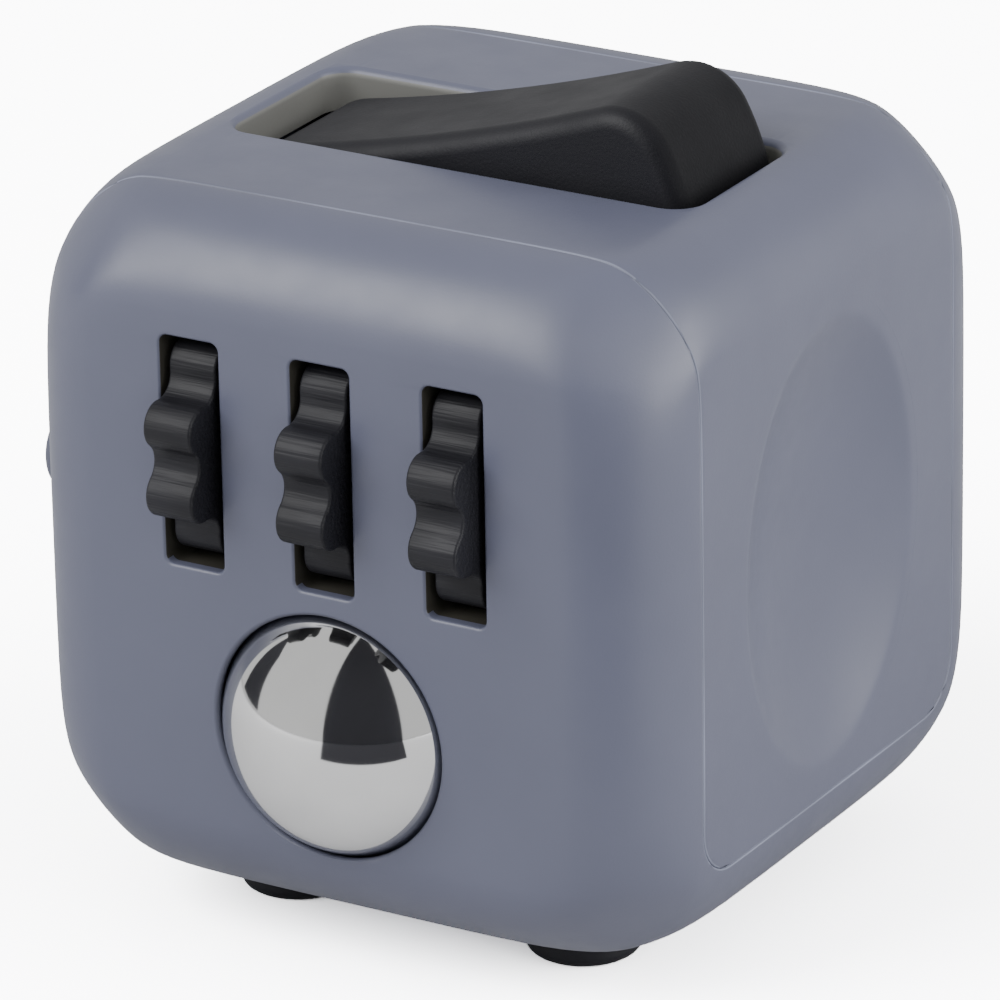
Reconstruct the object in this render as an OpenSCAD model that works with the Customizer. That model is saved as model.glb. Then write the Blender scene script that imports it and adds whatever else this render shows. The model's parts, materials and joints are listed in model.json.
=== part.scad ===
// Fidget cube: a pocket-sized desk toy with something to roll, rock, turn, push or rub on each face.
// Millimetres. +Z is up. The origin is under the centre button's foot, on the surface the cube
// stands on. The wheels and the ball face -Y, the thumb dish +X, the dial -X, the joystick +Y,
// the rocker +Z and the five buttons -Z.

/* [Casing] */
// Width of the cube across its flat faces
cube_w = 33; // [33:0.5:35]
// Radius of the rounded edges
edge_r = 4.74; // [4.5:0.02:5]
// How much rounder the corners are than the edges
corner_cut = 1; // [0.8:0.1:1.2]
// Thickness of the shells
wall = 2; // [1.9:0.05:2.1]
// Distance from the middle of the cube to the seam between the shells
seam = 11.8; // [11.6:0.1:12]
// Depth below the middle where the cap shell's side tabs end
tab_end = 12.2; // [12:0.1:12.4]
// Thickness of the lip that joins the shells
lip_t = 0.7; // [0.6:0.05:0.8]

/* [Wheels] */
// Distance between the wheels
wheel_pitch = 6.745; // [6.6:0.005:6.9]
// Width of a wheel
wheel_w = 2.45; // [2.3:0.05:2.5]
// Number of rounded teeth on a wheel
teeth = 8; // [7:1:10]
// Radius from the axle to the tips of the teeth
wheel_r = 5.3; // [5.2:0.02:5.3]
// Depth of the axle behind the face
axle_depth = 3; // [2.9:0.05:3.2]
// Height of the axle above the middle of the cube
wheel_z = 5.6; // [5.5:0.05:5.8]

/* [Ball] */
// Radius of the steel ball
ball_r = 6.35; // [6.3:0.01:6.4]
// Radius of the hole that the ball shows through
ball_hole_r = 5.8; // [5.75:0.01:5.85]
// Depth of the ball's centre behind the face
ball_depth = 3.1; // [3.05:0.01:3.2]
// Height of the ball's centre, measured from the middle of the cube
ball_z = -6.72; // [-6.8:0.02:-6.6]

/* [Rocker] */
// Length of the window in the top face
window_l = 23.9; // [23.9:0.05:24.1]
// Width of the window in the top face
window_w = 9.55; // [9.4:0.05:9.8]
// Width of the rocker
rocker_w = 8.5; // [8.3:0.05:8.7]
// Radius from the pivot to the rocker's end faces
rocker_r = 11.82; // [11.7:0.02:11.82]
// Height of the pivot above the middle of the cube
pivot_z = 13; // [12.8:0.1:13.2]
// Angle between the rocker's resting pose and level
rocker_tilt = 15; // [12:1:16]

/* [Thumb dish] */
// Half of the dish's width
dish_half_w = 7.72; // [7:0.02:8]
// Half of the dish's height
dish_half_h = 10.6; // [10:0.1:11]
// Depth of the dish
dish_depth = 1.8; // [1.5:0.1:2]

/* [Buttons] */
// Distance of the corner buttons from the middle, along X
button_x = 7.6; // [7.5:0.05:7.7]
// Distance of the corner buttons from the middle, along Y
button_y = 7.15; // [7.1:0.05:7.3]
// Radius of a button's foot
button_r = 2.7; // [2.6:0.05:2.75]
// How far a button stands out of the bottom face
button_out = 2.5; // [2.3:0.1:2.7]

/* [Dial] */
// Radius of the dial
dial_r = 9; // [8.5:0.1:9.2]
// How far the dial's face stands out
dial_out = 1.5; // [1.3:0.1:1.6]

/* [Joystick] */
// Radius of the joystick's thumb cap
stick_cap_r = 4.2; // [4:0.1:4.4]
// Travel of the joystick each way from the middle
stick_travel = 1.5; // [1.2:0.1:1.5]

/* [Hidden] */

$fn = 64;
shell_color = [0.45, 0.47, 0.53];
trim_color = [0.13, 0.13, 0.14];
steel_color = [0.75, 0.76, 0.78];
frame_color = [0.85, 0.85, 0.82];
brass_color = [0.78, 0.64, 0.35];
rubber_color = [0.55, 0.55, 0.56];

half = cube_w / 2;
inner_half = half - wall;
cube_z = half + button_out;
tab_corner_r = 2.5;
big = 100;

// Clearances: a fixed pin in its hole, a turning pin in its bore, and a free gap
snug = 0.02;
running = 0.05;
gap = 0.3;

screw_r = 0.6;
screw_head_r = 1.25;
screw_head_h = 0.8;
boss_r = 1.6;
root = 0.5;

// ---- Helpers ----

// Moves the cube's own middle to its height above the table
module at_centre() {
    translate([0, 0, cube_z]) children();
}

// Extrudes along X: the drawing's x is the cube's y, and its y is the cube's z
module along_x(len) {
    rotate([90, 0, 90]) linear_extrude(len, center = true) children();
}

// Extrudes along Y: the drawing's x is the cube's x, and its y is the cube's z
module along_y(len) {
    rotate([90, 0, 0]) linear_extrude(len, center = true) children();
}

// A box between two corners
module box(low, high) {
    translate(low) cube(high - low);
}

// A rod from one height to another along Z, and its turned forms along X and Y
module rod_z(r, z0, z1) {
    translate([0, 0, z0]) cylinder(r = r, h = z1 - z0);
}

module rod_x(r, x0, x1) {
    rotate([0, 90, 0]) rod_z(r, x0, x1);
}

module rod_y(r, y0, y1) {
    rotate([-90, 0, 0]) rod_z(r, y0, y1);
}

module rounded_square(w, h, r) {
    square([w - 2 * r, h], center = true);
    square([w, h - 2 * r], center = true);
    for (x = [-1, 1], y = [-1, 1])
        translate([x * (w / 2 - r), y * (h / 2 - r)]) circle(r);
}

// A cube with rounded edges whose corners are cut rounder still by a sphere
module rounded_block(inset) {
    w = cube_w - 2 * inset;
    r = edge_r - inset;
    reach = (w / 2 - r) * sqrt(3) + r - corner_cut;
    intersection() {
        linear_extrude(w, center = true) rounded_square(w, w, r);
        along_x(w) rounded_square(w, w, r);
        along_y(w) rounded_square(w, w, r);
        sphere(reach, $fn = 128);
    }
}

// The part of the cube that the cap shell takes, made wider or narrower by grow
module cap_region(grow = 0) {
    low = -tab_end - grow;
    tall = big + tab_end;
    along_x(big)
        translate([0, low + tall / 2])
        rounded_square(2 * (seam + grow), tall, tab_corner_r);
}

// A disc about Z whose lower rim is rounded
module rounded_disc(r, edge, low, high) {
    rotate_extrude($fn = 128) {
        translate([0, low]) square([r - edge, edge]);
        translate([0, low + edge]) square([r, high - low - edge]);
        translate([r - edge, low + edge]) intersection() {
            circle(edge);
            translate([-edge / 2, -edge]) square(2 * edge);
        }
    }
}

// A pan-head screw with a cross recess: the head sits on z = 0 and the thread points down
module screw(len) {
    recess_w = 0.35;
    recess_l = 1.5;
    difference() {
        union() {
            rod_z(screw_head_r, 0, screw_head_h);
            rod_z(screw_r, -len, 0.1);
        }
        for (a = [0, 90])
            rotate(a)
            translate([-recess_l / 2, -recess_w / 2, screw_head_h / 2])
            cube([recess_l, recess_w, screw_head_h]);
    }
}

// The hole that a screw's thread goes into
module screw_hole(len) {
    rod_z(screw_r + snug, -len - 0.2, root);
}

// A coil spring along +Z from z = 0, swept as one closed tube
module coil(r, wire_r, len, turns) {
    sides = 6;
    steps = 18 * turns;
    points = [
        for (i = [0 : steps])
            let (a = i * 360 * turns / steps, z = wire_r + (len - 2 * wire_r) * i / steps)
            for (j = [0 : sides - 1])
                let (b = j * 360 / sides, d = r + wire_r * cos(b))
                [d * cos(a), d * sin(a), z + wire_r * sin(b)]
    ];
    skin = [
        for (i = [0 : steps - 1], j = [0 : sides - 1])
            let (k = (j + 1) % sides)
            [i * sides + j, (i + 1) * sides + j, (i + 1) * sides + k, i * sides + k]
    ];
    first = [for (j = [0 : sides - 1]) j];
    last = [for (j = [sides - 1 : -1 : 0]) steps * sides + j];
    polyhedron(points, concat([first, last], skin), convexity = 8);
}

// ---- Casing: the cradle shell is the front, bottom and back; the cap shell is the top and sides ----

wheel_y = -half + axle_depth;
axle_r = 0.75;
nose_r = 1.7;
slot_w = 3.03;
slot_h = 10.89;
slot_corner_r = 0.4;

ball_y = -half + ball_depth;
ball_gap = 0.06;

wheel_boss_x = 11.6;
wheel_plate_front = wheel_y + wheel_r + 0.6;
guide_boss_x = 9;
guide_front = -4.4;

plate_low = -inner_half + 3.3;
plate_t = 0.8;
button_hole_r = button_r + 0.15;
plate_screws = [[-8.6, 0], [8.6, 0], [0, 8.6]];
buttons = [
    [0, 0],
    [-button_x, -button_y], [button_x, -button_y],
    [-button_x, button_y], [button_x, button_y],
];

base_screw_x = 9.2;
base_screw_z = 5;
base_ear_back = inner_half - 1.9;
stick_r = 1.4;
stick_hole_r = 4.1;
crater_r = 7.5;
crater_depth = 0.8;

module wheel_slots() {
    for (i = [-1 : 1])
        translate([i * wheel_pitch, -half, wheel_z])
        along_y(3 * wall)
        rounded_square(slot_w, slot_h, slot_corner_r);
    // Room inside the wall for the bracket's noses around the axle
    translate([0, wheel_y, wheel_z]) rod_x(nose_r + gap, -10.4, 10.4);
}

module ball_opening() {
    translate([0, 0, ball_z]) rod_y(ball_hole_r, -half - 1, -inner_half);
    translate([0, ball_y, ball_z]) sphere(ball_r + 0.08);
}

module joystick_opening() {
    rod_y(stick_hole_r, inner_half - 1, half + 1);
    rod_y(crater_r, half - crater_depth, half + 1);
}

module cradle_bosses() {
    for (s = [-1, 1]) {
        translate([s * wheel_boss_x, 0, wheel_z])
            rod_y(boss_r, -inner_half - root, wheel_plate_front);
        translate([s * guide_boss_x, 0, ball_z])
            rod_y(boss_r, -inner_half - root, guide_front);
        for (t = [-1, 1])
            translate([s * base_screw_x, 0, t * base_screw_z])
            rod_y(boss_r, base_ear_back, inner_half + root);
    }
    for (p = plate_screws)
        translate(p) rod_z(boss_r, -inner_half - root, plate_low);
}

// Each fastener group is placed by a module that puts its children at every screw, head outwards
module at_wheel_bracket_screws() {
    for (s = [-1, 1])
        translate([s * wheel_boss_x, wheel_plate_front + 1.2, wheel_z]) rotate([-90, 0, 0]) children();
}

module at_guide_screws() {
    for (s = [-1, 1])
        translate([s * guide_boss_x, guide_front + 1.2, ball_z]) rotate([-90, 0, 0]) children();
}

module at_plate_screws() {
    for (p = plate_screws)
        translate([p[0], p[1], plate_low + plate_t]) children();
}

module at_base_screws() {
    for (s = [-1, 1], t = [-1, 1])
        translate([s * base_screw_x, base_ear_back - 1, t * base_screw_z])
        rotate([90, 0, 0]) children();
}

module cradle_shell() {
    color(shell_color) at_centre() difference() {
        union() {
            difference() {
                rounded_block(0);
                rounded_block(wall);
                cap_region();
            }
            cradle_bosses();
        }
        wheel_slots();
        ball_opening();
        joystick_opening();
        for (p = buttons)
            translate(p) rod_z(button_hole_r, -half - 1, -inner_half + 0.1);
        at_wheel_bracket_screws() screw_hole(5);
        at_guide_screws() screw_hole(5);
        at_plate_screws() screw_hole(3);
        at_base_screws() screw_hole(2.6);
    }
}

frame_screw_x = 9.5;
frame_screw_y = 8;
ear_top = 10.8;
window_corner_r = 1.3;

dial_recess = 0.8;
dial_shaft_r = 2;
dial_boss_x = -inner_half + 1.1;
leaf_screw_y = 8;
leaf_screw_z = 3.5;
leaf_boss_x = -inner_half + 1.4;

// A shallow bowl with two radii of curvature, grown outwards by grow
module dish(grow = 0) {
    r_w = (dish_half_w * dish_half_w + dish_depth * dish_depth) / (2 * dish_depth);
    r_h = (dish_half_h * dish_half_h + dish_depth * dish_depth) / (2 * dish_depth);
    translate([half - dish_depth + r_h, 0, 0])
        rotate([90, 0, 0])
        rotate_extrude($fn = 200)
        intersection() {
            translate([r_h - r_w, 0]) circle(r_w + grow, $fn = 128);
            translate([0, -big / 2]) square(big);
        }
}

// The lip inside the seam: its root is on the cap shell and its tongue lies behind the cradle shell
module seam_lip() {
    difference() {
        union() {
            intersection() {
                rounded_block(wall - 0.2);
                cap_region();
            }
            intersection() {
                rounded_block(wall + 0.04);
                cap_region(1.4);
            }
        }
        rounded_block(wall + lip_t);
        cap_region(-1);
    }
}

module at_frame_screws() {
    for (x = [-1, 1], y = [-1, 1])
        translate([x * frame_screw_x, y * frame_screw_y, ear_top - 1.2]) rotate([180, 0, 0]) children();
}

module at_leaf_screw() {
    translate([leaf_boss_x + 0.4, leaf_screw_y, leaf_screw_z]) rotate([0, 90, 0]) children();
}

module cap_shell() {
    color(shell_color) at_centre() difference() {
        union() {
            difference() {
                intersection() {
                    rounded_block(0);
                    cap_region();
                }
                rounded_block(wall);
            }
            seam_lip();
            // The wall bulges inwards behind the dish, so that it stays thick enough
            intersection() {
                dish(1.6);
                rounded_block(wall - root);
                cap_region(-1.2);
            }
            for (x = [-1, 1], y = [-1, 1])
                translate([x * frame_screw_x, y * frame_screw_y, 0])
                rod_z(boss_r, ear_top, inner_half + root);
            rod_x(3.6, -inner_half - root, dial_boss_x);
            translate([0, leaf_screw_y, leaf_screw_z])
                rod_x(boss_r, -inner_half - root, leaf_boss_x);
        }
        dish();
        translate([0, 0, half])
            linear_extrude(3 * wall, center = true)
            rounded_square(window_l, window_w, window_corner_r);
        rod_x(dial_r + 0.25, -half - 1, -half + dial_recess);
        rod_x(dial_shaft_r + running, -half - 1, dial_boss_x + 1);
        at_frame_screws() screw_hole(4);
        at_leaf_screw() screw_hole(2.4);
    }
}

// ---- Front face: three wheels on one axle ----

cheek_t = 0.95;
tooth_r = 1.1;
tooth_ring_r = wheel_r - tooth_r;

// The hollow between two teeth is an arc that runs smoothly into both
half_step = 180 / teeth;
bow = 2 * tooth_ring_r * (1 - cos(half_step));
hollow_arc_r = (bow * tooth_ring_r - tooth_r * tooth_r) / (2 * tooth_r - bow);
hollow_ring_r = tooth_ring_r + hollow_arc_r;

module wheel_outline() {
    difference() {
        union() {
            polygon([
                for (k = [0 : 2 * teeth - 1])
                    let (r = k % 2 == 0 ? tooth_ring_r : hollow_ring_r, a = (k + 1) * half_step)
                    [r * cos(a), r * sin(a)]
            ]);
            for (k = [0 : teeth - 1])
                rotate((2 * k + 1) * half_step) translate([tooth_ring_r, 0]) circle(tooth_r);
        }
        for (k = [0 : teeth - 1])
            rotate((2 * k + 2) * half_step) translate([hollow_ring_r, 0]) circle(hollow_arc_r);
    }
}

module wheel(i) {
    color(trim_color) at_centre()
        translate([i * wheel_pitch, wheel_y, wheel_z])
        along_x(wheel_w)
        difference() {
            wheel_outline();
            circle(axle_r + running);
        }
}

module wheel_left() wheel(-1);

module wheel_middle() wheel(0);

module wheel_right() wheel(1);

module wheel_axle() {
    color(steel_color) at_centre()
        translate([0, wheel_y, wheel_z]) rod_x(axle_r, -9.6, 9.6);
}

module wheel_bracket() {
    plate_back = wheel_plate_front + 1.2;
    plate_half_l = 13.2;
    color(frame_color) at_centre() difference() {
        union() {
            box([-plate_half_l, wheel_plate_front, 2.2], [plate_half_l, plate_back, 8.2]);
            for (i = [-1 : 1], s = [-1, 1])
                translate([i * wheel_pitch + s * (wheel_w / 2 + gap + cheek_t / 2), 0, wheel_z])
                along_x(cheek_t)
                union() {
                    translate([wheel_y, 0]) circle(nose_r);
                    translate([wheel_y, -nose_r])
                        square([wheel_plate_front + root - wheel_y, 2 * nose_r]);
                }
        }
        translate([0, wheel_y, wheel_z]) rod_x(axle_r + snug, -half, half);
        at_wheel_bracket_screws() screw_hole(5);
    }
}

// A steel comb with one finger behind each wheel
module wheel_click_spring() {
    leaf_t = 0.3;
    leaf_front = wheel_plate_front - leaf_t;
    color(brass_color) at_centre() union() {
        box([-8.5, leaf_front, 2.3], [8.5, wheel_plate_front, 3.5]);
        for (i = [-1 : 1]) {
            translate([i * wheel_pitch, 0, 0])
                box([-1, leaf_front, 2.3], [1, wheel_plate_front, 8]);
            translate([i * wheel_pitch, leaf_front, wheel_z]) rod_x(0.15, -1, 1);
        }
    }
}

module wheel_bracket_screws() {
    color(steel_color) at_centre() at_wheel_bracket_screws() screw(5);
}

// ---- Front face: the ball, which rolls in a sprung cup ----

cup_r = ball_r + 0.5;
cup_stem_r = 1.2;
cup_back = ball_y + cup_r;
guide_back = guide_front + 1.2;
can_back = 0.6;
can_bore_r = 2.6;

module at_ball_axis() {
    translate([0, 0, ball_z]) children();
}

module steel_ball() {
    color(steel_color) at_centre() translate([0, ball_y, ball_z]) sphere(ball_r);
}

module ball_cup() {
    color(frame_color) at_centre() at_ball_axis() difference() {
        union() {
            intersection() {
                translate([0, ball_y, 0]) sphere(cup_r);
                rod_y(cup_r + 1, ball_y + 1, cup_back + 1);
            }
            rod_y(2.8, cup_back - 0.6, cup_back);
            rod_y(cup_stem_r, cup_back - 0.6, -2.4);
        }
        translate([0, ball_y, 0]) sphere(ball_r + ball_gap);
    }
}

module ball_spring() {
    color(steel_color) at_centre() at_ball_axis()
        translate([0, cup_back, 0]) rotate([-90, 0, 0])
        coil(2, 0.17, guide_front - cup_back, 2.5);
}

module ball_guide() {
    color(frame_color) at_centre() difference() {
        at_ball_axis() union() {
            box([-10.7, guide_front, -2.6], [10.7, guide_back, 2.6]);
            rod_y(3.3, guide_front, can_back);
        }
        at_ball_axis() rod_y(cup_stem_r + 0.1, guide_front - 1, can_back);
        at_ball_axis() rod_y(can_bore_r, guide_back, can_back + 1);
        at_guide_screws() screw_hole(5);
    }
}

module ball_end_cap() {
    color(frame_color) at_centre() at_ball_axis()
        rod_y(can_bore_r - snug, can_back - 0.8, can_back);
}

// A thin sprung disc, domed along +Z from z = 0
module snap_dome(r, h, t) {
    sphere_r = (r * r + h * h) / (2 * h);
    intersection() {
        rod_z(r, 0, h);
        translate([0, 0, h - sphere_r]) difference() {
            sphere(sphere_r);
            sphere(sphere_r - t);
        }
    }
}

module ball_click_dome() {
    color(steel_color) at_centre() at_ball_axis()
        translate([0, can_back - 0.8, 0]) rotate([90, 0, 0]) snap_dome(2.3, 0.7, 0.15);
}

module ball_guide_screws() {
    color(steel_color) at_centre() at_guide_screws() screw(5);
}

// ---- Top face: the rocker ----

pin_r = 0.8;
cam_r = 2.6;
skirt = 1.6;
plan_corner_r = 0.9;

// The rocker's rounded tips run smoothly into its end faces and into the hollow along its top
tip_r = 2.85;
tip_z = 2.2;
top_z = 4.7;
tip_x = sqrt(pow(rocker_r - tip_r, 2) - tip_z * tip_z);
tip_end_z = tip_z * rocker_r / (rocker_r - tip_r);
rise = top_z - tip_z;
hollow_r = (tip_x * tip_x + rise * rise - tip_r * tip_r) / (2 * (tip_r - rise));

frame_half_l = 10;
frame_floor = 5.6;
frame_in = rocker_w / 2 + 0.35;
frame_out = frame_in + 1.2;
plunger_r = 1.2;
plunger_top = pivot_z - cam_r - 0.2;
plunger_foot = 6.4;
tube_floor = 4;

module at_pivot() {
    translate([0, 0, pivot_z]) children();
}

// The rocker seen from the front, level, with the pivot at the origin
module rocker_outline() {
    difference() {
        union() {
            for (s = [-1, 1]) translate([s * tip_x, tip_z]) circle(tip_r);
            translate([-tip_x, 0]) square([2 * tip_x, tip_z + tip_r]);
            intersection() {
                circle(rocker_r, $fn = 128);
                translate([-half, -skirt]) square([cube_w, skirt + tip_end_z]);
            }
        }
        translate([0, top_z + hollow_r]) circle(hollow_r, $fn = 720);
    }
}

module rocker() {
    side_t = 1.2;
    color(trim_color) at_centre() at_pivot() rotate([0, -rocker_tilt, 0]) difference() {
        union() {
            difference() {
                intersection() {
                    along_y(rocker_w) rocker_outline();
                    linear_extrude(cube_w, center = true)
                        rounded_square(2 * rocker_r, rocker_w, plan_corner_r);
                }
                along_y(rocker_w - 2 * side_t)
                    translate([-9.6, -2 * skirt]) square([19.2, 2 * skirt + 2.9]);
            }
            along_y(rocker_w) union() {
                circle(cam_r);
                translate([-1.5, 0]) square([3, 3.5]);
            }
        }
        along_y(cube_w) circle(pin_r + running);
    }
}

module rocker_pin() {
    color(steel_color) at_centre() at_pivot() rod_y(pin_r, -frame_out, frame_out);
}

module rocker_frame() {
    color(frame_color) at_centre() difference() {
        union() {
            box([-frame_half_l, -frame_out, frame_floor],
                [frame_half_l, frame_out, frame_floor + 1]);
            for (s = [-1, 1]) {
                scale([1, s, 1])
                    box([-frame_half_l, frame_in, frame_floor], [frame_half_l, frame_out, ear_top]);
                scale([1, s, 1]) box([-2.4, frame_in, frame_floor], [2.4, frame_out, inner_half - 0.1]);
                for (t = [-1, 1]) {
                    translate([t * frame_screw_x, s * frame_screw_y, 0])
                        rod_z(boss_r + 0.1, ear_top - 1.2, ear_top);
                    scale([t, s, 1])
                        box([frame_screw_x - 1.7, frame_in, ear_top - 1.2],
                            [frame_screw_x + 1.5, frame_screw_y, ear_top]);
                }
            }
            rod_z(2.2, tube_floor - 0.8, 8.4);
        }
        rod_z(plunger_r + 0.08, tube_floor, 9);
        at_pivot() rod_y(pin_r + snug, -half, half);
        at_frame_screws() screw_hole(4);
    }
}

module rocker_plunger() {
    color(brass_color) at_centre() union() {
        rod_z(plunger_r, plunger_foot, plunger_top - plunger_r);
        translate([0, 0, plunger_top - plunger_r]) sphere(plunger_r);
    }
}

module rocker_spring() {
    color(steel_color) at_centre()
        translate([0, 0, tube_floor]) coil(0.9, 0.15, plunger_foot - tube_floor, 4);
}

module rocker_frame_screws() {
    color(steel_color) at_centre() at_frame_screws() screw(4);
}

// ---- Bottom face: five sprung buttons ----

flange_r = 3.4;
flange_low = -inner_half + 0.1;
flange_top = flange_low + 1;
foot_edge_r = 0.5;

module button(p) {
    foot = -half - button_out;
    color(trim_color) at_centre() translate(p) union() {
        rounded_disc(button_r, foot_edge_r, foot, flange_low + 0.1);
        rod_z(flange_r, flange_low, flange_top);
        rod_z(1, flange_low, flange_top + 0.3);
    }
}

module button_spring(p) {
    color(steel_color) at_centre()
        translate([p[0], p[1], flange_top]) coil(2.15, 0.17, plate_low - flange_top, 2.5);
}

module button_centre() button(buttons[0]);

module button_front_left() button(buttons[1]);

module button_front_right() button(buttons[2]);

module button_back_left() button(buttons[3]);

module button_back_right() button(buttons[4]);

module spring_centre() button_spring(buttons[0]);

module spring_front_left() button_spring(buttons[1]);

module spring_front_right() button_spring(buttons[2]);

module spring_back_left() button_spring(buttons[3]);

module spring_back_right() button_spring(buttons[4]);

module button_plate() {
    color(frame_color) at_centre() difference() {
        box([-11.2, -10.6, plate_low], [11.2, 10.6, plate_low + plate_t]);
        // The ball's cup passes through this notch
        box([-5.7, -half, plate_low - 1], [5.7, -5.2, plate_low + 2]);
        at_plate_screws() screw_hole(3);
    }
}

// Three of the buttons click on sprung domes; the other two land on soft pads
module click_domes() {
    color(steel_color) at_centre()
        for (i = [0, 1, 4])
            translate([buttons[i][0], buttons[i][1], plate_low])
            rotate([180, 0, 0]) snap_dome(1.6, 0.65, 0.15);
}

module silent_pads() {
    color(rubber_color) at_centre()
        for (i = [2, 3])
            translate([buttons[i][0], buttons[i][1], 0]) rod_z(1.5, plate_low - 0.6, plate_low);
}

module button_plate_screws() {
    color(steel_color) at_centre() at_plate_screws() screw(3);
}

// ---- Left face: the dial ----

dial_back = -half + dial_recess - 0.1;
dial_edge_r = 0.6;
nub_r = 2.1;
nub_edge_r = 0.5;
nub_y = -6.2;
nub_out = 2.32;
click_wheel_r = 3.8;
click_wheel_x0 = dial_boss_x + 0.3;
click_wheel_x1 = click_wheel_x0 + 0.9;
click_teeth = 12;
click_tooth_r = 0.45;

module dial() {
    face = -half - dial_out;
    color(shell_color) at_centre() difference() {
        union() {
            rotate([0, 90, 0]) rounded_disc(dial_r, dial_edge_r, face, dial_back);
            rod_x(dial_shaft_r, face + 1, dial_boss_x + 0.1);
            rod_x(1.2, face + 1, click_wheel_x1);
            // The finger nub near the rim
            translate([0, nub_y, 0])
                rotate([0, 90, 0]) rounded_disc(nub_r, nub_edge_r, face - nub_out, face + 0.5);
        }
        rod_x(screw_r + snug, click_wheel_x1 - 3.2, 0);
    }
}

module dial_click_wheel() {
    color(frame_color) at_centre()
        translate([(click_wheel_x0 + click_wheel_x1) / 2, 0, 0])
        along_x(click_wheel_x1 - click_wheel_x0)
        difference() {
            union() {
                circle(click_wheel_r - click_tooth_r);
                for (k = [0 : click_teeth - 1])
                    rotate((k + 0.5) * 360 / click_teeth)
                    translate([click_wheel_r - click_tooth_r, 0])
                    circle(click_tooth_r);
            }
            circle(1.2 + snug);
        }
}

module dial_screw() {
    color(steel_color) at_centre()
        translate([click_wheel_x1, 0, 0]) rotate([0, 90, 0]) screw(3);
}

module dial_click_spring() {
    leaf_low = click_wheel_r + 0.3;
    color(brass_color) at_centre() difference() {
        union() {
            translate([0, leaf_screw_y, leaf_screw_z]) rod_x(boss_r, leaf_boss_x, leaf_boss_x + 0.4);
            box([leaf_boss_x, -2.5, leaf_low], [leaf_boss_x + 0.4, leaf_screw_y, leaf_low + 0.25]);
            box([click_wheel_x0, -2.5, leaf_low], [click_wheel_x1, leaf_screw_y - 1.4, leaf_low + 0.25]);
            translate([0, 0, leaf_low + 0.1]) rod_x(0.3, click_wheel_x0, click_wheel_x1);
        }
        at_leaf_screw() screw_hole(2.4);
    }
}

module dial_spring_screw() {
    color(steel_color) at_centre() at_leaf_screw() screw(2.4);
}

// ---- Back face: the joystick, on two crossed slides ----

slide_gap = 0.1;
spring_l = stick_travel + 0.9;
foot_half = 2.5;
slider_front = inner_half - 0.3;
slider_back = inner_half - 2.1;
window_half_x = foot_half + slide_gap;
window_half_z = foot_half + spring_l;
slider_half_x = 4;
slider_half_z = window_half_z + 1.3;
tray_half_x = slider_half_x + spring_l;
tray_half_z = slider_half_z + slide_gap;
tray_wall = 1.2;
tray_floor = slider_back - 0.2;
cap_low = half - crater_depth + 0.35;
cap_high = half + 2.7;

module joystick_base() {
    color(frame_color) at_centre() difference() {
        union() {
            box([-tray_half_x - tray_wall, tray_floor - 0.8, -tray_half_z - tray_wall],
                [tray_half_x + tray_wall, inner_half - 0.05, tray_half_z + tray_wall]);
            for (s = [-1, 1], t = [-1, 1]) {
                translate([s * base_screw_x, 0, t * base_screw_z])
                    rod_y(boss_r, base_ear_back - 1, base_ear_back);
                scale([s, 1, t])
                    box([tray_half_x, base_ear_back - 1, base_screw_z - boss_r],
                        [base_screw_x, base_ear_back, base_screw_z + boss_r]);
            }
        }
        box([-tray_half_x, tray_floor, -tray_half_z], [tray_half_x, half, tray_half_z]);
        at_base_screws() screw_hole(2.6);
    }
}

module joystick_slider() {
    color(frame_color) at_centre() difference() {
        box([-slider_half_x, slider_back, -slider_half_z], [slider_half_x, slider_front, slider_half_z]);
        box([-window_half_x, 0, -window_half_z], [window_half_x, half, window_half_z]);
    }
}

module joystick_stem() {
    color(trim_color) at_centre() union() {
        box([-foot_half, slider_back, -foot_half], [foot_half, slider_front, foot_half]);
        rod_y(stick_r, slider_back, cap_high - 1);
    }
}

// A round thumb cap with a shallow hollow in its face
module joystick_cap() {
    cap_edge_r = 0.9;
    grip_r = 11;
    color(trim_color) at_centre() difference() {
        rotate([-90, 0, 0]) rotate_extrude() difference() {
            union() {
                translate([0, cap_low]) square([stick_cap_r, cap_high - cap_low - cap_edge_r]);
                translate([0, cap_low]) square([stick_cap_r - cap_edge_r, cap_high - cap_low]);
                translate([stick_cap_r - cap_edge_r, cap_high - cap_edge_r]) intersection() {
                    circle(cap_edge_r);
                    translate([-cap_edge_r / 2, -cap_edge_r]) square(2 * cap_edge_r);
                }
            }
            translate([0, cap_high + grip_r - 0.45]) circle(grip_r, $fn = 128);
            translate([-big, -big / 2]) square(big);
        }
        rod_y(stick_r + snug, 0, cap_high - 1);
    }
}

// One spring each side of the slider
module slide_springs() {
    color(steel_color) at_centre()
        for (s = [-1, 1])
            rotate([0, s * 90, 0])
            translate([0, (slider_back + slider_front) / 2, slider_half_x])
            coil(0.6, 0.12, spring_l, 4);
}

// One spring above and one below the joystick's foot
module lift_springs() {
    color(steel_color) at_centre()
        for (s = [0, 180])
            rotate([0, s, 0])
            translate([0, (slider_back + slider_front) / 2, foot_half])
            coil(0.6, 0.12, spring_l, 4);
}

module joystick_base_screws() {
    color(steel_color) at_centre() at_base_screws() screw(2.6);
}

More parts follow.
